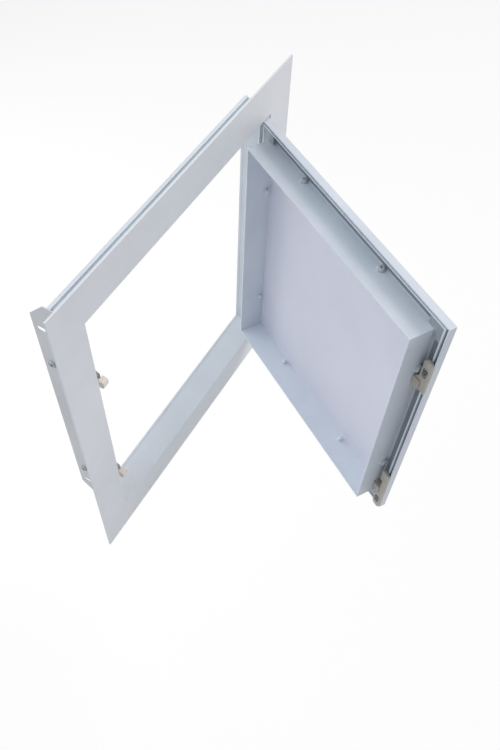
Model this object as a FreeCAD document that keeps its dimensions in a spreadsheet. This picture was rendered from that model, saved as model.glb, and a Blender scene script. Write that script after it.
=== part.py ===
import FreeCAD, Part
import os
import Sketcher

# Square access panel for a wall: a mitred frame of channel bars, and a mitred door leaf that
# turns on two short pins. The door is drawn half open, as it stands in use.
# X runs along the wall, Y into it and Z up. The origin is on the back of the lower flange.

doc = FreeCAD.newDocument("AccessPanel")
sheet = doc.addObject("Spreadsheet::Sheet", "Sizes")

SIZES = [
    # Frame
    ("frame_width", 360.0),
    ("flange_width", 36.5),
    ("flange_thick", 1.6),
    ("origin_inset", 15.5),
    ("collar_depth", 28.4),
    ("collar_section", 5.5),
    ("collar_wall", 1.3),
    ("slot_lip", 3.5),
    ("slot_width", 2.5),
    ("bead_inset", 3.3),
    ("bead_width", 0.9),
    ("bead_cut", 0.45),
    ("key_leg", 34.0),
    ("key_clear", 0.1),
    # Door leaf
    ("hinge_gap", 2.5),
    ("free_gap", 0.8),
    ("rim_depth", 6.8),
    ("rim_wall", 1.2),
    ("ridge_inset", 4.6),
    ("ridge_wall", 1.8),
    ("ridge_height", 5.4),
    ("box_inset", 15.4),
    ("box_wall", 1.4),
    ("box_depth", 27.6),
    ("sheet_thick", 1.0),
    ("sheet_clear", 0.1),
    ("rail_base", 1.0),
    ("door_key_leg", 16.4),
    ("door_key_drop", 0.4),
    # Hinge pins and the blocks that hold them in the leaf
    ("open_angle", 58.2),
    ("pin_radius", 1.25),
    ("pin_clear", 0.05),
    ("pin_depth", 3.9),
    ("pin_grip", 14.0),
    ("block_length", 18.0),
    ("block_drop", 0.9),
    # Latch plate
    ("plate_thick", 1.0),
    ("plate_foot_gap", 7.0),
    ("plate_front", 4.0),
    ("plate_back", 47.2),
    ("plate_corner", 15.0),
    ("plate_slot_end", 29.5),
    ("plate_slot_edge", 7.6),
    ("plate_slot_length", 9.0),
    ("plate_slot_radius", 2.4),
    # Latches
    ("upper_latch_drop", 89.3),
    ("lower_latch_rise", 44.5),
    ("latch_width", 22.0),
    ("latch_front", 31.2),
    ("latch_thick", 13.0),
    ("latch_below", 9.0),
    ("latch_above", 24.0),
    ("nose_width", 6.8),
    ("nose_half_height", 4.6),
    ("nose_front", 9.4),
    ("nose_clear", 0.6),
    ("nose_taper", 9.0),
    ("web_rise", 4.6),
    ("plunger_centre", 16.8),
    ("plunger_front", 1.0),
    ("plunger_head", 5.6),
    ("plunger_half_height", 4.3),
    ("plunger_round", 2.6),
    ("plunger_travel", 2.5),
    ("rod_radius", 1.6),
    ("rod_grip", 12.0),
    # Keepers on the door
    ("keeper_start", 8.3),
    ("keeper_shoulder", 23.0),
    ("keeper_top", 45.0),
    ("keeper_trim", 2.8),
    ("keeper_arm", 10.2),
    ("keeper_thick", 2.4),
    ("keeper_bevel", 4.5),
    ("keeper_round", 2.5),
    ("keeper_fit", 0.2),
    ("keeper_tail", 20.5),
    ("keeper_tail_gap", 0.6),
    ("keeper_tab", 1.4),
    ("keeper_foot_end", 18.5),
    ("keeper_pocket_rise", 30.5),
    ("keeper_pocket_inset", 5.6),
    ("keeper_pocket_length", 11.5),
    ("keeper_pocket_radius", 3.0),
    ("keeper_pocket_depth", 1.6),
]

for row, (alias, size) in enumerate(SIZES, start=1):
    sheet.set("A%d" % row, alias)
    sheet.set("B%d" % row, str(size))
    sheet.setAlias("B%d" % row, alias)
doc.recompute()

VERTICAL = FreeCAD.Vector(0, 0, 1)
ACROSS_WALL = FreeCAD.Vector(0, 1, 0)
pieces = []


# Sums of sizes, such as "0.5*frame_width - flange_width"
def amount(text):
    total = 0.0
    sign = 1.0
    words = []
    for word in text.split():
        if word in ("+", "-"):
            sign = 1.0 if word == "+" else -1.0
            words.append(word)
            continue
        factor, star, name = word.rpartition("*")
        scale = float(factor) if star else 1.0
        if name[0].isdigit():
            value = float(name)
            words.append(word)
        else:
            value = sheet.get(name)
            words.append(factor + star + "Sizes." + name)
        total += sign * scale * value
        sign = 1.0
    return total, " ".join(words)


def number(text):
    return amount(text)[0]


# The same sums taken away from one another, negated and halved, term by term
def less(first, second):
    flipped = {"+": "-", "-": "+"}
    return first + " - " + " ".join(flipped.get(word, word) for word in second.split())


def negative(text):
    return less("0", text)


def half_of(text):
    halves = []
    for word in text.split():
        if word in ("+", "-"):
            halves.append(word)
            continue
        factor, star, name = word.rpartition("*")
        halves.append("%g*%s" % (0.5 * (float(factor) if star else 1.0), name))
    return " ".join(halves)


# Bodies, sketches and features
def new_body(name):
    body = doc.addObject("PartDesign::Body", name)
    body.Label = name
    pieces.append(body)
    return body


def new_sketch(body, role, name):
    sketch = body.newObject("Sketcher::SketchObject", body.Name + "_" + name)
    plane = [feature for feature in body.Origin.OriginFeatures if feature.Role == role][0]
    sketch.AttachmentSupport = (plane, "")
    sketch.MapMode = "FlatFace"
    return sketch


def bind(sketch, constraint, text):
    index = sketch.addConstraint(constraint)
    sketch.setExpression("Constraints[%d]" % index, text)


def draw_outline(sketch, corners):
    places = [(amount(across), amount(up)) for across, up in corners]
    first = sketch.GeometryCount
    count = len(places)
    points = [FreeCAD.Vector(across[0], up[0], 0) for across, up in places]
    for step in range(count):
        sketch.addGeometry(Part.LineSegment(points[step], points[(step + 1) % count]), False)
    for step in range(count):
        follower = first + (step + 1) % count
        sketch.addConstraint(Sketcher.Constraint("Coincident", first + step, 2, follower, 1))
    for step, (across, up) in enumerate(places):
        bind(sketch, Sketcher.Constraint("DistanceX", -1, 1, first + step, 1, across[0]), across[1])
        bind(sketch, Sketcher.Constraint("DistanceY", -1, 1, first + step, 1, up[0]), up[1])


def draw_circle(sketch, across, up, radius):
    centre = FreeCAD.Vector(number(across), number(up), 0)
    index = sketch.addGeometry(Part.Circle(centre, VERTICAL, number(radius)), False)
    bind(sketch, Sketcher.Constraint("DistanceX", -1, 1, index, 3, centre.x), amount(across)[1])
    bind(sketch, Sketcher.Constraint("DistanceY", -1, 1, index, 3, centre.y), amount(up)[1])
    bind(sketch, Sketcher.Constraint("Radius", index, number(radius)), amount(radius)[1])


def pad(body, sketch, length, symmetric=False, backwards=False):
    feature = body.newObject("PartDesign::Pad", sketch.Name + "_pad")
    feature.Profile = sketch
    feature.setExpression("Length", amount(length)[1])
    feature.Midplane = symmetric
    feature.Reversed = backwards
    sketch.Visibility = False
    doc.recompute()
    return feature


# A pocket that cuts to the given depth, or right through on both sides
def cut(body, sketch, depth=None, backwards=False):
    before = body.Shape.Volume
    feature = body.newObject("PartDesign::Pocket", sketch.Name + "_cut")
    feature.Profile = sketch
    if depth is None:
        feature.Type = "ThroughAll"
        feature.Midplane = True
    else:
        feature.setExpression("Length", amount(depth)[1])
        feature.Reversed = backwards
    doc.recompute()
    if body.Shape.Volume > before - 0.01:
        raise RuntimeError(feature.Name + " cuts nothing")
    return feature


# Places in the panel: the frame's middle, the four sides, and the door closed and turned
SIDES = {"bottom": 0, "left": 90, "top": 180, "right": 270}
CORNERS = {"bottom_left": 0, "top_left": 90, "top_right": 180, "bottom_right": 270}
PIN_FROM_DOOR_EDGE = "0.5*rim_wall + 0.5*ridge_inset"
PIN_FROM_FLANGE_EDGE = "flange_width + hinge_gap + 0.5*rim_wall + 0.5*ridge_inset"


def quarter_turn(angle):
    return FreeCAD.Rotation(ACROSS_WALL, angle)


def frame_middle():
    return FreeCAD.Vector(0, 0, number("0.5*frame_width - origin_inset"))


def door_middle():
    across = number("0.5*free_gap - 0.5*hinge_gap")
    return FreeCAD.Vector(across, number("0 - flange_thick"), frame_middle().z)


# A place given from a side's or corner's outer edge, with the bar running along local X
def from_edge(middle, half, angle, corner=False):
    turn = quarter_turn(angle)
    start = FreeCAD.Vector(-half if corner else 0, 0, -half)
    return FreeCAD.Placement(middle + turn.multVec(start), turn)


def pin_axis(height):
    across = number(less("0.5*frame_width", PIN_FROM_FLANGE_EDGE))
    return FreeCAD.Vector(across, number("pin_depth - flange_thick"), height)


def turned_with_door(place):
    turn = FreeCAD.Rotation(VERTICAL, number("open_angle"))
    return FreeCAD.Placement(FreeCAD.Vector(), turn, pin_axis(0)).multiply(place)


# A straight bar with both ends cut at 45 degrees. The profile gives depth and inset pairs.
def mitred_bar(name, profile, length, width):
    body = new_body(name)
    outline = new_sketch(body, "YZ_Plane", "profile")
    draw_outline(outline, profile)
    pad(body, outline, length, symmetric=True)
    mitre = new_sketch(body, "XZ_Plane", "mitre")
    half = half_of(length)
    inner = less(half, width)
    draw_outline(mitre, [(half, "0"), (half, width), (inner, width)])
    draw_outline(mitre, [(negative(half), "0"), (negative(inner), width), (negative(half), width)])
    cut(body, mitre)
    return body


def pin_hole(body, across, depth, radius):
    hole = new_sketch(body, "XY_Plane", "pin_hole")
    draw_circle(hole, across, depth, radius)
    cut(body, hole)


# Frame: a face flange with a collar behind its inner edge. The collar is a channel for the
# corner keys, open outwards through a narrow slot, with a fine bead line on its inner face.
COLLAR_OUT = "flange_width - collar_section"
BEAD_START = "collar_depth - bead_inset"
FRAME_PROFILE = [
    ("0 - flange_thick", "0"),
    ("0 - flange_thick", "flange_width"),
    (BEAD_START, "flange_width"),
    (BEAD_START + " + 0.5*bead_width", "flange_width - bead_cut"),
    (BEAD_START + " + bead_width", "flange_width"),
    ("collar_depth", "flange_width"),
    ("collar_depth", COLLAR_OUT),
    ("collar_depth - slot_lip", COLLAR_OUT),
    ("collar_depth - slot_lip", COLLAR_OUT + " + collar_wall"),
    ("collar_depth - collar_wall", COLLAR_OUT + " + collar_wall"),
    ("collar_depth - collar_wall", "flange_width - collar_wall"),
    ("0", "flange_width - collar_wall"),
    ("0", COLLAR_OUT + " + collar_wall"),
    ("collar_depth - slot_lip - slot_width", COLLAR_OUT + " + collar_wall"),
    ("collar_depth - slot_lip - slot_width", COLLAR_OUT),
    ("0", COLLAR_OUT),
    ("0", "0"),
]


def make_frame_bar(side):
    body = mitred_bar("frame_%s_bar" % side, FRAME_PROFILE, "frame_width", "flange_width")
    if side in ("top", "bottom"):
        across = less("0.5*frame_width", PIN_FROM_FLANGE_EDGE)
        if side == "top":
            across = negative(across)
        pin_hole(body, across, "pin_depth - flange_thick", "pin_radius + pin_clear")
    body.Placement = from_edge(frame_middle(), number("0.5*frame_width"), SIDES[side])


# An L-shaped key that fills the channels of two bars at a corner
def corner_key(name, near, far, leg, depth):
    body = new_body(name)
    outline = new_sketch(body, "XZ_Plane", "outline")
    end = near + " + " + leg
    corners = [(near, near), (end, near), (end, far), (far, far), (far, end), (near, end)]
    draw_outline(outline, corners)
    pad(body, outline, depth, backwards=True)
    return body


# The pin hole of a right-hand key: it runs along local X below and along local Z above
def key_pin_hole(body, corner, inset, depth):
    if corner == "bottom_right":
        hole = new_sketch(body, "YZ_Plane", "pin_hole")
        draw_circle(hole, depth, inset, "pin_radius + pin_clear")
    else:
        hole = new_sketch(body, "XY_Plane", "pin_hole")
        draw_circle(hole, inset, depth, "pin_radius + pin_clear")
    cut(body, hole)


def make_frame_key(corner):
    near = COLLAR_OUT + " + collar_wall + key_clear"
    far = "flange_width - collar_wall - key_clear"
    depth = "collar_depth - collar_wall - 2*key_clear"
    body = corner_key("frame_%s_key" % corner, near, far, "key_leg", depth)
    if corner.endswith("right"):
        key_pin_hole(body, corner, PIN_FROM_FLANGE_EDGE, "pin_depth - flange_thick - key_clear")
    place = from_edge(frame_middle(), number("0.5*frame_width"), CORNERS[corner], corner=True)
    place.Base = place.Base + FreeCAD.Vector(0, number("key_clear"), 0)
    body.Placement = place


# Door leaf: mitred rails with a rim, a low ridge and a tall inner wall, and a flush face sheet.
# The groove between rim and ridge holds the hinge blocks, and the channel between ridge and
# wall holds the corner keys and the keepers.
DOOR_SIZE = "frame_width - 2*flange_width - hinge_gap - free_gap"
RAIL_WIDTH = "box_inset + box_wall"
RAIL_FLOOR = "sheet_thick + rail_base"
DOOR_PROFILE = [
    ("0", "0"),
    ("0", "rim_wall"),
    ("sheet_thick", "rim_wall"),
    ("sheet_thick", RAIL_WIDTH),
    ("box_depth", RAIL_WIDTH),
    ("box_depth", "box_inset"),
    (RAIL_FLOOR, "box_inset"),
    (RAIL_FLOOR, "ridge_inset + ridge_wall"),
    ("ridge_height", "ridge_inset + ridge_wall"),
    ("ridge_height", "ridge_inset"),
    (RAIL_FLOOR, "ridge_inset"),
    (RAIL_FLOOR, "rim_wall"),
    ("rim_depth", "rim_wall"),
    ("rim_depth", "0"),
]
RAILS = {"bottom": "bottom", "free": "left", "top": "top", "hinge": "right"}


def make_door_rail(rail):
    body = mitred_bar("door_%s_rail" % rail, DOOR_PROFILE, DOOR_SIZE, RAIL_WIDTH)
    if rail in ("top", "bottom"):
        across = less(half_of(DOOR_SIZE), PIN_FROM_DOOR_EDGE)
        if rail == "top":
            across = negative(across)
        pin_hole(body, across, "pin_depth", "pin_radius + pin_clear")
    body.Placement = turned_with_door(from_door_edge(SIDES[RAILS[rail]]))


def from_door_edge(angle, corner=False, depth="0"):
    place = from_edge(door_middle(), number(half_of(DOOR_SIZE)), angle, corner)
    place.Base = place.Base + FreeCAD.Vector(0, number(depth), 0)
    return place


def make_door_key(corner):
    near = "ridge_inset + ridge_wall + key_clear"
    start = RAIL_FLOOR + " + key_clear"
    depth = less("ridge_height - door_key_drop", start)
    body = corner_key("door_%s_key" % corner, near, "box_inset - key_clear", "door_key_leg", depth)
    body.Placement = turned_with_door(from_door_edge(CORNERS[corner], True, start))


# Hinge block: fills the end of the hinge rail's groove and takes the pin
def make_hinge_block(name, corner):
    body = new_body("%s_hinge_block" % name)
    near, far = "rim_wall + key_clear", "ridge_inset - key_clear"
    end = near + " + block_length"
    start = RAIL_FLOOR + " + key_clear"
    outline = new_sketch(body, "XZ_Plane", "outline")
    if corner == "bottom_right":
        draw_outline(outline, [(near, near), (end, near), (end, far), (near, far)])
    else:
        draw_outline(outline, [(near, near), (far, near), (far, end), (near, end)])
    pad(body, outline, less("rim_depth - block_drop", start), backwards=True)
    key_pin_hole(body, corner, PIN_FROM_DOOR_EDGE, less("pin_depth", start))
    body.Placement = turned_with_door(from_door_edge(CORNERS[corner], True, start))


def make_door_sheet():
    body = new_body("door_face_sheet")
    outline = new_sketch(body, "XZ_Plane", "outline")
    high = half_of(DOOR_SIZE) + " - rim_wall - sheet_clear"
    low = negative(high)
    draw_outline(outline, [(low, low), (high, low), (high, high), (low, high)])
    pad(body, outline, "sheet_thick", backwards=True)
    body.Placement = turned_with_door(FreeCAD.Placement(door_middle(), FreeCAD.Rotation()))


# Hinge pins: each passes through the frame's collar and key into the leaf's hinge block
def make_pin(name, top):
    pin = doc.addObject("Part::Cylinder", name)
    pin.Label = name
    pin.setExpression("Radius", "Sizes.pin_radius")
    reach = "collar_section + 0.5*hinge_gap + 0.5*free_gap + pin_grip"
    pin.setExpression("Height", amount(reach)[1])
    outer = number("0.5*frame_width - flange_width + collar_section")
    low = outer - number(reach) if top else -outer
    pin.Placement.Base = pin_axis(frame_middle().z + low)
    pieces.append(pin)


# Latch side: a plate along the outside of the left collar carries two spring latches. Its top
# end is flush with the collar, and both of its back corners are cut off.
PLATE_FACE = "0.5*frame_width - flange_width + collar_section"


def on_plate(height):
    return FreeCAD.Vector(-number(PLATE_FACE), 0, frame_middle().z + height)


# A round-ended slot along a sketch's first or second axis: its middle first, then its ends
def cut_slot(body, role, name, centre, length, radius, upright=False, depth=None, start=None):
    across, up = centre
    run = half_of(length) + " - " + radius
    reach, rise = (radius, run) if upright else (run, radius)
    left, right = less(across, reach), across + " + " + reach
    low, high = less(up, rise), up + " + " + rise
    middle = new_sketch(body, role, name + "_middle")
    draw_outline(middle, [(left, low), (right, low), (right, high), (left, high)])
    ends = new_sketch(body, role, name + "_ends")
    for end in ((across, low), (across, high)) if upright else ((left, up), (right, up)):
        draw_circle(ends, end[0], end[1], radius)
    for sketch in (middle, ends):
        if start:
            sketch.setExpression("AttachmentOffset.Base.z", amount(negative(start))[1])
        cut(body, sketch, depth, backwards=True)


def make_latch_plate():
    body = new_body("latch_plate")
    outline = new_sketch(body, "YZ_Plane", "outline")
    high = PLATE_FACE
    low = less("plate_foot_gap", PLATE_FACE)
    shoulder = "plate_back - plate_corner"
    draw_outline(outline, [
        ("plate_front", low), (shoulder, low), ("plate_back", low + " + plate_corner"),
        ("plate_back", high + " - plate_corner"), (shoulder, high), ("plate_front", high)])
    pad(body, outline, "plate_thick", backwards=True)
    rise = PLATE_FACE + " - plate_slot_end"
    for name, up in (("upper_slot", rise), ("lower_slot", negative(rise))):
        centre = ("plate_back - plate_slot_edge", up)
        cut_slot(body, "YZ_Plane", name, centre, "plate_slot_length", "plate_slot_radius")
    body.Placement.Base = on_plate(0)


# Height of each latch above the middle of the frame, given from the opening's top and bottom
LATCHES = {
    "upper": "0.5*frame_width - flange_width - upper_latch_drop",
    "lower": "lower_latch_rise + flange_width - 0.5*frame_width",
}


# Latch housing: a block on the plate, behind the collar, with a nose that tapers forward from
# the collar's inner face to the plunger, and a sloping web above it
def make_latch_housing(name):
    body = new_body("%s_latch_housing" % name)
    front, back = "latch_front", "latch_front + latch_thick"
    block = new_sketch(body, "YZ_Plane", "block")
    draw_outline(block, [
        (front, "0 - latch_below"), (back, "0 - latch_below"), (back, "latch_above"),
        (front, "latch_above")])
    pad(body, block, "latch_width")
    nose = new_sketch(body, "XY_Plane", "nose")
    left, right = "plunger_centre - 0.5*nose_width", "plunger_centre + 0.5*nose_width"
    root = "collar_section + nose_clear"
    deep = "latch_front + 0.5*latch_thick"
    draw_outline(nose, [
        (left, "nose_front"), (right, "nose_front"), (right, deep), (root, deep),
        (root, "nose_front + nose_taper")])
    pad(body, nose, "2*nose_half_height", symmetric=True)
    web = new_sketch(body, "YZ_Plane", "web")
    high = "nose_half_height + web_rise"
    draw_outline(web, [
        ("nose_front", "0"), (deep, "0"), (deep, high), ("nose_front + nose_taper", high),
        ("nose_front", "nose_half_height")])
    web.setExpression("AttachmentOffset.Base.z", amount(left)[1])
    pad(body, web, "nose_width")
    bore = new_sketch(body, "XZ_Plane", "bore")
    draw_circle(bore, "plunger_centre", "0", "rod_radius + pin_clear")
    bore.setExpression("AttachmentOffset.Base.z", amount("0 - nose_front")[1])
    cut(body, bore, "plunger_travel + rod_grip")
    body.Placement.Base = on_plate(number(LATCHES[name]))


# Plunger: a head with two rounded front edges, on a round rod
def make_plunger(name):
    body = new_body("%s_latch_plunger" % name)
    back = "plunger_front + plunger_head"
    middle = "plunger_front + plunger_round"
    rise = "plunger_half_height - plunger_round"
    head = new_sketch(body, "YZ_Plane", "head")
    draw_outline(head, [
        (middle, "0 - plunger_half_height"), (back, "0 - plunger_half_height"),
        (back, "plunger_half_height"), (middle, "plunger_half_height"), (middle, rise),
        ("plunger_front", rise), ("plunger_front", negative(rise)), (middle, negative(rise))])
    lower_edge = new_sketch(body, "YZ_Plane", "lower_edge")
    draw_circle(lower_edge, middle, negative(rise), "plunger_round")
    upper_edge = new_sketch(body, "YZ_Plane", "upper_edge")
    draw_circle(upper_edge, middle, rise, "plunger_round")
    for sketch in (head, lower_edge, upper_edge):
        left = amount("plunger_centre - 0.5*nose_width")[1]
        sketch.setExpression("AttachmentOffset.Base.z", left)
        pad(body, sketch, "nose_width")
    rod = new_sketch(body, "XZ_Plane", "rod")
    draw_circle(rod, "plunger_centre", "0", "rod_radius")
    rod.setExpression("AttachmentOffset.Base.z", amount(negative(back))[1])
    pad(body, rod, less("nose_front", back) + " + rod_grip - plunger_travel", backwards=True)
    body.Placement.Base = on_plate(number(LATCHES[name]))


# Keeper: a plate on the free rail's rim, with a raised tab that stops at the plunger, a foot in
# the channel, and an arm with a screw pocket that points away from the leaf's middle. The lower
# one also has a tail past the plunger, which leaves the plunger free on the wall's side.
def make_keeper(name):
    def outward(corners):
        return [(across, up if name == "upper" else negative(up)) for across, up in corners]

    def raised(sketch, depth):
        sketch.setExpression("AttachmentOffset.Base.z", amount(negative(depth))[1])

    body = new_body("%s_keeper" % name)
    near = "ridge_inset + ridge_wall + keeper_fit"
    far = "box_inset - keeper_fit"
    top = "rim_depth + keeper_thick"
    arm_end = "keeper_top" if name == "upper" else "keeper_top - keeper_trim"
    corners = [
        (far, "keeper_start"), (far, "keeper_shoulder - keeper_bevel"),
        ("keeper_arm", "keeper_shoulder"), ("keeper_arm", arm_end + " - keeper_round"),
        ("keeper_arm - keeper_round", arm_end), ("keeper_round", arm_end),
        ("0", arm_end + " - keeper_round")]
    if name == "upper":
        corners += [("0", "keeper_start")]
    else:
        beside = "plunger_centre - 0.5*nose_width - collar_section - free_gap - keeper_tail_gap"
        before = "0 - plunger_half_height - keeper_tail_gap"
        corners += [
            ("0", "0 - keeper_tail"), ("keeper_arm", "0 - keeper_tail"), ("keeper_arm", before),
            (beside, before), (beside, "keeper_start")]
    plate = new_sketch(body, "XZ_Plane", "plate")
    draw_outline(plate, outward(corners))
    raised(plate, "rim_depth")
    pad(body, plate, "keeper_thick", backwards=True)
    foot = new_sketch(body, "XZ_Plane", "foot")
    draw_outline(foot, outward([
        (near, "keeper_start"), (far, "keeper_start"), (far, "keeper_foot_end"),
        (near, "keeper_foot_end")]))
    raised(foot, RAIL_FLOOR)
    pad(body, foot, less(top + " + keeper_tab", RAIL_FLOOR), backwards=True)
    centre = outward([("keeper_pocket_inset", "keeper_pocket_rise")])[0]
    cut_slot(body, "XZ_Plane", "pocket", centre, "keeper_pocket_length",
             "keeper_pocket_radius", True, "keeper_pocket_depth", top)
    door_edge = door_middle().x - number(half_of(DOOR_SIZE))
    height = frame_middle().z + number(LATCHES[name])
    place = FreeCAD.Placement()
    place.Base = FreeCAD.Vector(door_edge, door_middle().y, height)
    body.Placement = turned_with_door(place)


for side in SIDES:
    make_frame_bar(side)
for corner in CORNERS:
    make_frame_key(corner)
for rail in RAILS:
    make_door_rail(rail)
for corner in CORNERS:
    make_door_key(corner)
make_door_sheet()
make_hinge_block("upper", "top_right")
make_hinge_block("lower", "bottom_right")
make_pin("upper_hinge_pin", top=True)
make_pin("lower_hinge_pin", top=False)
make_latch_plate()
for latch in LATCHES:
    make_latch_housing(latch)
    make_plunger(latch)
    make_keeper(latch)
doc.recompute()

for item in doc.Objects:
    if "Invalid" in item.State or "Error" in item.State:
        raise RuntimeError("%s failed: %s" % (item.Label, item.State))
for piece in pieces:
    if piece.Shape.isNull() or not piece.Shape.isValid():
        raise RuntimeError("%s has no valid shape" % piece.Label)

os.makedirs("parts", exist_ok=True)
for piece in pieces:
    piece.Shape.exportStep("parts/%s.step" % piece.Label)
    box = piece.Shape.BoundBox
    print("%-26s %8.0f mm3  solids %d  X %.1f %.1f  Y %.1f %.1f  Z %.1f %.1f" % (
        piece.Label, piece.Shape.Volume, len(piece.Shape.Solids),
        box.XMin, box.XMax, box.YMin, box.YMax, box.ZMin, box.ZMax))
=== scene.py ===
import math

import bpy
from mathutils import Euler, Matrix, Vector


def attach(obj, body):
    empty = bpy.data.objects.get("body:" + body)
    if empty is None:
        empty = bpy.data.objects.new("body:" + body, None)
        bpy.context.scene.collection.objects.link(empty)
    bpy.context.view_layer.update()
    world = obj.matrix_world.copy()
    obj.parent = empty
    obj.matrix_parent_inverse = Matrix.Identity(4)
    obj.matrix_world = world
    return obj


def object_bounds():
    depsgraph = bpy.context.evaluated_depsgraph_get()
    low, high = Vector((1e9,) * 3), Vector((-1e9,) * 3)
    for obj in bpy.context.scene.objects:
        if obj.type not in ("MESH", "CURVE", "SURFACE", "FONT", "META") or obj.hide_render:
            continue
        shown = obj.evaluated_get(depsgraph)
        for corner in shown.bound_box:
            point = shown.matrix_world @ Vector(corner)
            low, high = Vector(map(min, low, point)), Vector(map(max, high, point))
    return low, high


# Square wall access panel, drawn with its door half open: white powder coat, plastic latches
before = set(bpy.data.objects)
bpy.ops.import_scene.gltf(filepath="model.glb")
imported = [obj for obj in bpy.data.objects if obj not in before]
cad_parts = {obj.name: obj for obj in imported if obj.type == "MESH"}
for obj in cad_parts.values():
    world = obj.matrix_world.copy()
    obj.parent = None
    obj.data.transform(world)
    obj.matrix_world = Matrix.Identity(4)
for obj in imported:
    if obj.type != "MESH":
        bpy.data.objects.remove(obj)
bpy.ops.object.select_all(action="DESELECT")
cadLow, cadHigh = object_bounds()
print("frame loaded:", len(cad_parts), "nodes")

# How the door leaf stands: its closed edges, the pin it turns on and its angle, in metres
leaf = {
    "hingeEdge": 0.1410,   # X of the leaf's hinge edge when closed
    "face": -0.0016,       # Y of its face when closed
    "middle": 0.1645,      # Z of the middle
    "pin": (0.1381, 0.0023),
    "angle": math.radians(58.2),
    "size": 0.2837,
}
half = leaf["size"] / 2   # from the leaf's middle to its edges
smoothAngle = math.radians(35)   # faces that meet at less than this are shaded as one
# The channels round the leaf: distances from its edge, and from its face
channel = {"start": 0.0012, "full": 0.0128, "end": 0.0158, "floor": 0.0022, "top": 0.0042}


# A point on the leaf: across from the hinge edge, in from the face, up from the middle
def leafPoint(across, inward, up):
    x = leaf["hingeEdge"] - across - leaf["pin"][0]
    y = leaf["face"] + inward - leaf["pin"][1]
    c, s = math.cos(leaf["angle"]), math.sin(leaf["angle"])
    return Vector((leaf["pin"][0] + c * x - s * y, leaf["pin"][1] + s * x + c * y, leaf["middle"] + up))


# Colours are written as sRGB hex and turned to linear here
def linearColour(hexText):
    parts = [int(hexText[i:i + 2], 16) / 255 for i in (1, 3, 5)]
    return tuple(p / 12.92 if p <= 0.04045 else ((p + 0.055) / 1.055) ** 2.4 for p in parts) + (1.0,)


# Adds a node with its settings, fixed inputs and links from other nodes' outputs
def addNode(tree, kind, settings=None, values=None, links=None):
    node = tree.nodes.new(kind)
    for name, value in (settings or {}).items():
        setattr(node, name, value)
    for name, value in (values or {}).items():
        node.inputs[name].default_value = value
    for name, source in (links or {}).items():
        tree.links.new(source, node.inputs[name])
    return node


# How deep a point lies in the channels round the leaf's edge: 1 on their floors, 0 out of them.
# Depth is taken in from the leaf's face, and the distance from its edge across and up.
def channelDepth(tree, place):
    def maths(kind, values=None, links=None):
        return addNode(tree, "ShaderNodeMath", {"operation": kind}, values, links).outputs[0]

    def along(direction, start):
        out = addNode(tree, "ShaderNodeVectorMath", {"operation": "DOT_PRODUCT"}, {1: direction}, {0: place})
        return maths("SUBTRACT", {1: direction.dot(start)}, {0: out.outputs["Value"]})

    corner = leafPoint(0, 0, 0)
    across = maths("SUBTRACT", {1: half}, {0: along(leafPoint(1, 0, 0) - corner, corner)})
    up = along(Vector((0, 0, 1)), corner)
    reach = maths("MAXIMUM", None, {
        0: maths("ABSOLUTE", None, {0: across}), 1: maths("ABSOLUTE", None, {0: up})})
    inner = addNode(tree, "ShaderNodeMapRange", {"interpolation_type": "SMOOTHSTEP"}, {
        "From Min": half - channel["end"], "From Max": half - channel["full"]}, {
        "Value": reach}).outputs["Result"]
    inside = maths("MULTIPLY", None, {
        0: maths("LESS_THAN", {1: half - channel["start"]}, {0: reach}), 1: inner})
    low = addNode(tree, "ShaderNodeMapRange", {"interpolation_type": "SMOOTHSTEP"}, {
        "From Min": channel["top"], "From Max": channel["floor"]}, {
        "Value": along(leafPoint(0, 1, 0) - corner, corner)}).outputs["Result"]
    return maths("MULTIPLY", None, {0: inside, 1: low})


# How the noise of every finish is made, and where its two shades begin
texture = {
    "cloudDetail": 3.0,
    "cloudRoughness": 0.55,
    "grainDetail": 2.0,
    "grainRoughness": 0.6,
    "shades": (0.3, 0.7),
}


# One coating or plastic: a soft change of shade, a fine bump, and a little change of gloss
def surfaceMaterial(look):
    material = bpy.data.materials.new(look["name"])
    material.use_nodes = True
    tree = material.node_tree
    tree.nodes.clear()
    place = addNode(tree, "ShaderNodeTexCoord").outputs["Object"]
    # cloudy shade: a few centimetres across, as sprayed coats and castings have
    cloud = addNode(tree, "ShaderNodeTexNoise", values={
        "Scale": 1.0 / look["cloudSize"], "Detail": texture["cloudDetail"],
        "Roughness": texture["cloudRoughness"]}, links={"Vector": place})
    shade = addNode(tree, "ShaderNodeValToRGB", links={"Fac": cloud.outputs["Fac"]})
    for end, position, key in zip(shade.color_ramp.elements, texture["shades"], ("darker", "colour")):
        end.position = position
        end.color = linearColour(look[key])
    base = shade.outputs["Color"]
    if "channelShade" in look:
        lowShade = linearColour(look["channelShade"])
        base = addNode(tree, "ShaderNodeMixRGB", values={"Color2": lowShade}, links={
            "Fac": channelDepth(tree, place), "Color1": base}).outputs["Color"]
    # grain: the texture of the surface itself
    grain = addNode(tree, "ShaderNodeTexNoise", values={
        "Scale": 1.0 / look["grainSize"], "Detail": texture["grainDetail"],
        "Roughness": texture["grainRoughness"]}, links={"Vector": place})
    gloss = addNode(tree, "ShaderNodeMapRange", values={
        "To Min": look["roughness"] - look["glossChange"], "To Max": look["roughness"] + look["glossChange"]},
        links={"Value": cloud.outputs["Fac"]})
    bump = addNode(tree, "ShaderNodeBump", values={
        "Strength": look["bumpStrength"], "Distance": look["bumpHeight"]}, links={
        "Height": grain.outputs["Fac"]})
    shader = addNode(tree, "ShaderNodeBsdfPrincipled", values={"Metallic": look["metallic"]}, links={
        "Base Color": base, "Roughness": gloss.outputs["Result"], "Normal": bump.outputs["Normal"]})
    if look["metallic"] == 0:
        shader.inputs["IOR"].default_value = look["ior"]
        shader.inputs["Specular IOR Level"].default_value = look.get("specular", 0.5)
    addNode(tree, "ShaderNodeOutputMaterial", links={"Surface": shader.outputs["BSDF"]})
    return material


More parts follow.
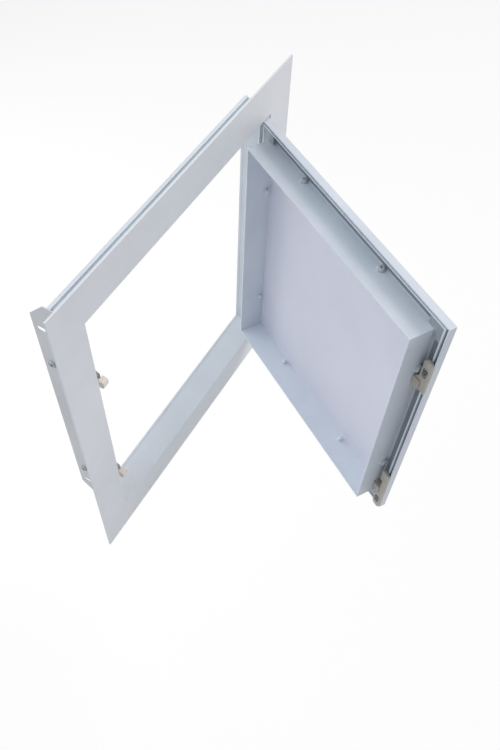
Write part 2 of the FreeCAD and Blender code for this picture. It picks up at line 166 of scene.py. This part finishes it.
# Polyester powder coat, sprayed and baked: semi-gloss white with a faint orange peel.
# Orange peel is about 0.4 mm across; it is drawn at 1.2 mm so that it shows.
powderCoat = {"name": "whitePowderCoat", "colour": "#DCE1E6", "darker": "#D5DAE0", "cloudSize": 0.06,
              "grainSize": 0.0012, "bumpStrength": 0.05, "bumpHeight": 0.0001, "roughness": 0.42,
              "glossChange": 0.04, "metallic": 0, "ior": 1.5, "specular": 0.2}
# The same coat on the leaf's rails, with a darker shade low in their channels. It stands in for
# the deep shadow there.
railCoat = dict(powderCoat, name="whitePowderCoatRails", colour="#D8DFE8", darker="#CFD7E0",
                channelShade="#7F868C")
# Coil-coated steel sheet: rolled flat, so smoother and softer in its gloss than the rails
coilCoat = dict(powderCoat, name="coilCoatedSheet", colour="#D9DCE8", darker="#D2D5E2", cloudSize=0.12,
                grainSize=0.0016, bumpStrength=0.06, roughness=0.5)
# The strips in the collar's slot, a pale bluish vinyl
stripVinyl = dict(powderCoat, name="stripVinyl", colour="#B6C1C9", darker="#ADB8C0", roughness=0.5)
# Galvanised plate, coated thinly: greyer than the frame
plateCoat = dict(powderCoat, name="coatedPlate", colour="#D4D5D8", darker="#CACBCF", roughness=0.38)
# Die-cast zinc corner keys: matt pale grey, slightly grainy
castZinc = {"name": "castZinc", "colour": "#A2ACB3", "darker": "#8D979E", "cloudSize": 0.008,
            "grainSize": 0.0008, "bumpStrength": 0.25, "bumpHeight": 0.0002, "roughness": 0.55,
            "glossChange": 0.06, "metallic": 0.2, "ior": 1.5}
# Injection moulded nylon: warm grey, dull sheen, with faint flow marks
mouldedNylon = {"name": "mouldedNylon", "colour": "#B3ADA4", "darker": "#A29C93", "cloudSize": 0.012,
                "grainSize": 0.0007, "bumpStrength": 0.2, "bumpHeight": 0.00015, "roughness": 0.46,
                "glossChange": 0.06, "metallic": 0, "ior": 1.53}
# The plunger heads are the same nylon, worn smoother and paler where they rub
wornNylon = dict(mouldedNylon, name="wornNylon", colour="#EAE3D8", darker="#DCD5CA", roughness=0.4)
# Housings hide behind the frame, in lit and shaded copies of one grey nylon: the upper one is painted darker as
# painted shade, the lower one paler as painted light
housingNylonPaintedShade = dict(mouldedNylon, name="housingNylonPaintedShade", colour="#7F7F82", darker="#6F6F72")
litHousingNylon = dict(mouldedNylon, name="housingNylonPaintedLight", colour="#A6A19D", darker="#98938F")
# Zinc plated steel: turned or stamped, dulled by handling
zincSteel = {"name": "zincPlatedSteel", "colour": "#B4B8BC", "darker": "#8F949A", "cloudSize": 0.003,
             "grainSize": 0.0005, "bumpStrength": 0.15, "bumpHeight": 0.0001, "roughness": 0.42,
             "glossChange": 0.08, "metallic": 0.5, "ior": 1.5}
# Painted steel: the tray's screws carry the coat's pale grey, a little dulled
paintedSteel = dict(powderCoat, name="paintedSteel", colour="#C4CBD0", darker="#B3BBC1", cloudSize=0.003,
                    grainSize=0.0006, roughness=0.5)
# The keepers' screws sit deep in their pockets; their steel is painted darker, a painted shade for the pocket's
# shadow
pocketShadeSteel = dict(zincSteel, name="pocketShadeSteel", colour="#7C7F82", darker="#55585B", roughness=0.3)
# Painted shade: a near-black colour on the faces of a screw's recess, standing in for the shadow there
recessPaintedShade = dict(zincSteel, name="recessPaintedShade", colour="#3A3B3D", darker="#2A2B2C", roughness=0.7, metallic=0)

coatMaterial = surfaceMaterial(powderCoat)
railMaterial = surfaceMaterial(railCoat)
sheetMaterial = surfaceMaterial(coilCoat)
plateMaterial = surfaceMaterial(plateCoat)
zincMaterial = surfaceMaterial(castZinc)
nylonMaterial = surfaceMaterial(mouldedNylon)
plungerMaterial = surfaceMaterial(wornNylon)
shadedHousingMaterial = surfaceMaterial(housingNylonPaintedShade)
litHousingMaterial = surfaceMaterial(litHousingNylon)
steelMaterial = surfaceMaterial(zincSteel)
stripMaterial = surfaceMaterial(stripVinyl)
paintedMaterial = surfaceMaterial(paintedSteel)
pocketShadeSteelMaterial = surfaceMaterial(pocketShadeSteel)
recessShadeMaterial = surfaceMaterial(recessPaintedShade)

nodeFinish = {
    "frame_": coatMaterial,
    "door_": railMaterial,
    "door_face_sheet": sheetMaterial,
    "latch_plate": plateMaterial,
    "_key": zincMaterial,
    "_hinge_block": zincMaterial,
    "_hinge_pin": steelMaterial,
    # The upper housing takes the painted shade, the lower one the painted light
    "_latch_housing": shadedHousingMaterial,
    "lower_latch_housing": litHousingMaterial,
    "_latch_plunger": plungerMaterial,
    "_keeper": nylonMaterial,
}
for name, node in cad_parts.items():
    finish = [material for part, material in nodeFinish.items() if part in name][-1]
    if not node.material_slots:
        node.data.materials.append(finish)
    for slot in node.material_slots:
        slot.material = finish
print("finishes assigned")

# Screws with a cross recess, in metres. The tray's are tall domes, the plate's are flat pan
# heads, and the keepers' are small and lie in a pocket.
trayScrew = {
    "headRadius": 0.0038,
    "headHeight": 0.0030,
    "domeBevel": 0.0021,
    "crossLength": 0.0027,
    "crossWidth": 0.0009,
    "crossDepth": 0.0012,
    "tipRadius": 0.0026,
    "tipLength": 0.0028,
    "pointLength": 0.0012,
}
plateScrew = {
    "headRadius": 0.00375,
    "headHeight": 0.0020,
    "domeBevel": 0.0012,
    "crossLength": 0.0040,
    "crossWidth": 0.0011,
    "crossDepth": 0.0010,
}
keeperScrew = {
    "headRadius": 0.0027,
    "headHeight": 0.0014,
    "domeBevel": 0.0008,
    "crossLength": 0.0034,
    "crossWidth": 0.0009,
    "crossDepth": 0.0008,
}


# How every screw is made: sides of its round parts, steps of its dome, and how far the recess and
# the point narrow. Faces within recessReach of the cross's length are in the recess.
screwMaking = {
    "headSides": 36,
    "domeSteps": 5,
    "recessNarrows": 0.45,
    "recessReach": 0.51,
    "tipSides": 24,
    "pointNarrows": 0.55,
}


def selectOnly(piece):
    bpy.ops.object.select_all(action="DESELECT")
    piece.select_set(True)
    bpy.context.view_layer.objects.active = piece


# Selects the faces or edges whose every corner passes the test
def selectWhere(piece, test, mode="FACE"):
    bpy.ops.object.mode_set(mode="EDIT")
    bpy.ops.mesh.select_mode(type=mode)
    bpy.ops.mesh.select_all(action="DESELECT")
    bpy.ops.object.mode_set(mode="OBJECT")
    mesh = piece.data
    for part in (mesh.polygons if mode == "FACE" else mesh.edges):
        part.select = all(test(mesh.vertices[v].co) for v in part.vertices)
    bpy.ops.object.mode_set(mode="EDIT")


# A turned head with its recess cut; the recess takes the second material, a painted shade
def makeScrew(screw, material):
    high = screw["headHeight"]
    bpy.ops.mesh.primitive_cylinder_add(
        vertices=screwMaking["headSides"], radius=screw["headRadius"], depth=high, location=(0, 0, high / 2))
    head = bpy.context.object
    bpy.ops.object.transform_apply()
    selectWhere(head, lambda co: co.z > high * 0.99, "EDGE")
    bpy.ops.mesh.bevel(offset=screw["domeBevel"], segments=screwMaking["domeSteps"], affect="EDGES")
    bpy.ops.mesh.select_all(action="DESELECT")
    bpy.ops.object.mode_set(mode="OBJECT")
    cutters = []
    for turn in (0, math.pi / 2):
        bpy.ops.mesh.primitive_cube_add(size=1, location=(0, 0, high))
        bar = bpy.context.object
        bar.scale = (screw["crossLength"], screw["crossWidth"], 2 * screw["crossDepth"])
        bar.rotation_euler = (0, 0, turn)
        bpy.ops.object.transform_apply()
        selectWhere(bar, lambda co: co.z < high)
        narrow = screwMaking["recessNarrows"]
        bpy.ops.transform.resize(value=(narrow, narrow, 1))   # the recess narrows towards its floor
        bpy.ops.object.mode_set(mode="OBJECT")
        cutters.append(bar)
    for bar in cutters:
        selectOnly(head)
        cut = head.modifiers.new("recess", "BOOLEAN")
        cut.operation = "DIFFERENCE"
        cut.solver = "EXACT"
        cut.object = bar
        bpy.ops.object.modifier_apply(modifier=cut.name)
        bpy.data.objects.remove(bar)
    head.data.materials.clear()
    head.data.materials.append(material)
    head.data.materials.append(recessShadeMaterial)
    # The faces down in the recess take the painted shade
    corners = head.data.vertices
    reach = screwMaking["recessReach"] * screw["crossLength"]
    for face in head.data.polygons:
        deep = all(corners[v].co.xy.length < reach for v in face.vertices)
        face.material_index = int(deep and min(corners[v].co.z for v in face.vertices) < high - 0.0001)
    return head


# The shank's end, with a short cone, standing on the side away from the head
def makeTip(screw, material, wall):
    bpy.ops.mesh.primitive_cylinder_add(
        vertices=screwMaking["tipSides"], radius=screw["tipRadius"], depth=screw["tipLength"],
        location=(0, 0, -wall - screw["tipLength"] / 2))
    tip = bpy.context.object
    bpy.ops.object.transform_apply()
    low = -wall - screw["tipLength"]
    selectWhere(tip, lambda co: co.z < low + 1e-5)
    bpy.ops.mesh.extrude_region_move(TRANSFORM_OT_translate={"value": (0, 0, -screw["pointLength"])})
    narrow = screwMaking["pointNarrows"]
    bpy.ops.transform.resize(value=(narrow, narrow, 1), center_override=(0, 0, low - screw["pointLength"]))
    bpy.ops.object.mode_set(mode="OBJECT")
    tip.data.materials.clear()
    tip.data.materials.append(material)
    return tip


# Puts the finished piece in its place, with the place in its mesh
def seat(piece, name, place, outward, body, roll=0.3):
    piece.name = name
    turn = outward.to_track_quat("Z", "Y").to_matrix().to_4x4() @ Matrix.Rotation(roll, 4, "Z")
    piece.matrix_world = Matrix.Translation(place) @ turn
    selectOnly(piece)
    bpy.ops.object.transform_apply(location=True, rotation=True, scale=True)
    bpy.ops.object.shade_smooth_by_angle(angle=smoothAngle)
    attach(piece, body)
    return piece


def copyOf(piece):
    twin = piece.copy()
    twin.data = piece.data.copy()
    bpy.context.collection.objects.link(twin)
    return twin


def joined(parts):
    bpy.ops.object.select_all(action="DESELECT")
    for part in parts:
        part.select_set(True)
    bpy.context.view_layer.objects.active = parts[0]
    bpy.ops.object.join()
    return parts[0]


# Where the screws stand, in metres: along each side of the leaf, and height over the leaf's face
trayScrews = {
    "wallInset": 0.0154,     # from the leaf's edge to the wall's outer face
    "wallThick": 0.0014,
    "top": (0.0783, 0.1978),
    "bottom": (0.0825, 0.2014),
    "hinge": (0.0715, -0.0760),
    "free": (0.0800, -0.0700),
    "height": {"top": 0.0060, "bottom": 0.0064, "hinge": 0.0060, "free": 0.0072},
    "rollStep": 0.4,         # each is turned this much more than the last, in radians
}
plateScrews = {
    "face": -0.1500,         # X of the plate's outer face
    "depth": 0.0383,
    "rises": (0.0768, -0.0940),
}
keeperScrews = {
    "inset": 0.0056,         # from the leaf's free edge to the pocket's middle
    "pocketFloor": 0.0076,
    "rises": (0.0838, -0.1290),
    "roll": 0.7,
}

# Directions on the turned leaf: towards its free edge, in from its face, and away from its middle
alongLeaf = leafPoint(1, 0, 0) - leafPoint(0, 0, 0)
intoLeaf = leafPoint(0, 1, 0) - leafPoint(0, 0, 0)
upwards = Vector((0, 0, 1))
headPattern = makeScrew(trayScrew, paintedMaterial)
tipPattern = makeTip(trayScrew, railMaterial, trayScrews["wallThick"])
platePattern = makeScrew(plateScrew, steelMaterial)
# The keepers' screws carry the painted shade of their pockets
keeperPattern = makeScrew(keeperScrew, pocketShadeSteelMaterial)
places = []
for side, sign in (("top", 1), ("bottom", -1)):
    for across in trayScrews[side]:
        up = sign * (half - trayScrews["wallInset"])
        places.append((side, leafPoint(across, trayScrews["height"][side], up), sign * upwards))
for side, sign in (("hinge", -1), ("free", 1)):
    for up in trayScrews[side]:
        across = half + sign * (half - trayScrews["wallInset"])
        places.append((side, leafPoint(across, trayScrews["height"][side], up), sign * alongLeaf))
for number, (side, place, outward) in enumerate(places):
    whole = joined([copyOf(headPattern), copyOf(tipPattern)])
    seat(whole, "tray_%s_screw_%d" % (side, number % 2 + 1), place, outward, "door_leaf",
         roll=trayScrews["rollStep"] * number)
for number, rise in enumerate(plateScrews["rises"]):
    place = Vector((plateScrews["face"], plateScrews["depth"], leaf["middle"] + rise))
    seat(copyOf(platePattern), "plate_screw_%d" % (number + 1), place, Vector((-1, 0, 0)), "frame")
for number, rise in enumerate(keeperScrews["rises"]):
    place = leafPoint(leaf["size"] - keeperScrews["inset"], keeperScrews["pocketFloor"], rise)
    seat(copyOf(keeperPattern), "keeper_screw_%d" % (number + 1), place, intoLeaf, "door_leaf",
         roll=keeperScrews["roll"])
for piece in (headPattern, tipPattern, platePattern, keeperPattern):
    bpy.data.objects.remove(piece)
print("screws placed:", len(places) + len(plateScrews["rises"]) + len(keeperScrews["rises"]))

# Cover strips in the slot round the collar, just under its outer face, in metres. The left side
# has none, as the plate covers it.
strip = {
    "outerFace": 0.1490,     # from the panel's middle
    "sunk": 0.0007,
    "thick": 0.0005,
    "width": 0.0023,
    "halfLength": 0.1479,
    "depth": 0.02365,        # Y of the slot's middle
    "rounding": 0.00015,
}


# A long thin bar with rounded edges, made on the top side and turned to its own
def makeStrip(name, turn):
    high = strip["outerFace"] - strip["sunk"] - strip["thick"] / 2
    bpy.ops.mesh.primitive_cube_add(size=1, location=(0, strip["depth"], high))
    bar = bpy.context.object
    bar.scale = (2 * strip["halfLength"], strip["width"], strip["thick"])
    bpy.ops.object.transform_apply()
    bpy.ops.object.mode_set(mode="EDIT")
    bpy.ops.mesh.select_all(action="SELECT")
    bpy.ops.mesh.bevel(offset=strip["rounding"], segments=2, affect="EDGES")
    bpy.ops.object.mode_set(mode="OBJECT")
    bar.name = name
    bar.matrix_world = Matrix.Translation((0, 0, leaf["middle"])) @ Matrix.Rotation(turn, 4, "Y")
    selectOnly(bar)
    bpy.ops.object.transform_apply(location=True, rotation=True, scale=True)
    bpy.ops.object.shade_smooth_by_angle(angle=smoothAngle)
    bar.data.materials.clear()
    bar.data.materials.append(stripMaterial)
    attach(bar, "frame")


for side, turn in (("top", 0), ("right", math.pi / 2), ("bottom", math.pi)):
    makeStrip("collar_%s_strip" % side, turn)
print("collar strips placed")

# Camera: stands left of the panel and above it, looking down into the open door
camera = {
    "place": (-0.40943, -0.27189, 0.73199),
    "turn": (31.2953, 0.2204, -59.3872),   # degrees
    "lens": 36.13,
    "sensor": 36,
    "shift": (0.04667, 0.1),
}
lensData = bpy.data.cameras.new("camera")
lensData.sensor_width = camera["sensor"]
lensData.lens = camera["lens"]
lensData.shift_x, lensData.shift_y = camera["shift"]
viewer = bpy.data.objects.new("camera", lensData)
viewer.location = camera["place"]
viewer.rotation_euler = Euler([math.radians(a) for a in camera["turn"]], "XYZ")
bpy.context.scene.collection.objects.link(viewer)
bpy.context.scene.camera = viewer

# Studio: a pale floor well below the panel, an even sky, and four soft lamps
studio = {
    "floorLevel": -0.60,
    "floorSize": 12.0,
    "floorColour": "#FFFFFF",
    "skyColour": "#F0F4FA",
    "skyStrength": 0.46,
    "floorWhite": 0.7,       # the rest of the floor is as it is lit, and keeps the shadow
    "lamps": [
        # name, direction from the panel, distance, size, power, colour
        ("windowLamp", (0.1, 1.0, 0.3), 1.8, 1.4, 15.0, "#FFFBF8"),
        ("topLamp", (0.0, 0.05, 1.0), 1.8, 1.4, 2.5, "#DDF0FF"),
        ("leftLamp", (-0.5, 0.5, 0.7), 1.8, 1.4, 8.0, "#F3FAFF"),
        ("rightLamp", (0.50, -0.50, 0.7), 4.0, 3.0, 90.0, "#FFF4EC"),
    ],
}


# Rays from the camera, reflections and glass see the pale background, and light is as set
def whiteForViewer(tree, lit, bright):
    path = addNode(tree, "ShaderNodeLightPath").outputs
    seen = addNode(tree, "ShaderNodeMath", {"operation": "MAXIMUM"}, None, {
        0: path["Is Camera Ray"], 1: path["Is Glossy Ray"]}).outputs[0]
    direct = addNode(tree, "ShaderNodeMath", {"operation": "MAXIMUM"}, None, {
        0: seen, 1: path["Is Transmission Ray"]}).outputs[0]
    return addNode(tree, "ShaderNodeMixShader", None, None, {"Fac": direct, 1: lit, 2: bright}).outputs[0]


world = bpy.data.worlds.new("studio")
bpy.context.scene.world = world
world.use_nodes = True
sky = world.node_tree
sky.nodes.clear()
dim = addNode(sky, "ShaderNodeBackground", values={
    "Color": linearColour(studio["skyColour"]), "Strength": studio["skyStrength"]}).outputs[0]
white = addNode(sky, "ShaderNodeBackground", values={"Color": (1, 1, 1, 1), "Strength": 1.0}).outputs[0]
addNode(sky, "ShaderNodeOutputWorld", links={"Surface": whiteForViewer(sky, dim, white)})

bpy.ops.mesh.primitive_plane_add(size=studio["floorSize"], location=(0, 0, studio["floorLevel"]))
floor = bpy.context.object
floor.name = "floor"
bpy.ops.object.transform_apply()
floorPaint = bpy.data.materials.new("paleFloor")
floorPaint.use_nodes = True
floorTree = floorPaint.node_tree
floorTree.nodes.clear()
matt = addNode(floorTree, "ShaderNodeBsdfDiffuse", values={
    "Color": linearColour(studio["floorColour"])}).outputs[0]
bright = addNode(floorTree, "ShaderNodeEmission", values={"Strength": 1.0}).outputs[0]
glow = addNode(floorTree, "ShaderNodeMixShader", None, {"Fac": studio["floorWhite"]}, {
    1: matt, 2: bright}).outputs[0]
addNode(floorTree, "ShaderNodeOutputMaterial", links={"Surface": whiteForViewer(floorTree, matt, glow)})
floor.data.materials.append(floorPaint)

middle = (cadLow + cadHigh) / 2
for name, direction, distance, size, power, colour in studio["lamps"]:
    lampData = bpy.data.lights.new(name, "AREA")
    lampData.shape = "DISK"
    lampData.size = size
    lampData.energy = power
    lampData.color = linearColour(colour)[:3]
    lamp = bpy.data.objects.new(name, lampData)
    toward = Vector(direction).normalized()
    lamp.location = middle + toward * distance
    lamp.rotation_euler = toward.to_track_quat("Z", "Y").to_euler()
    bpy.context.scene.collection.objects.link(lamp)

view = bpy.context.scene.view_settings
view.view_transform = "Standard"
print("camera and light set")
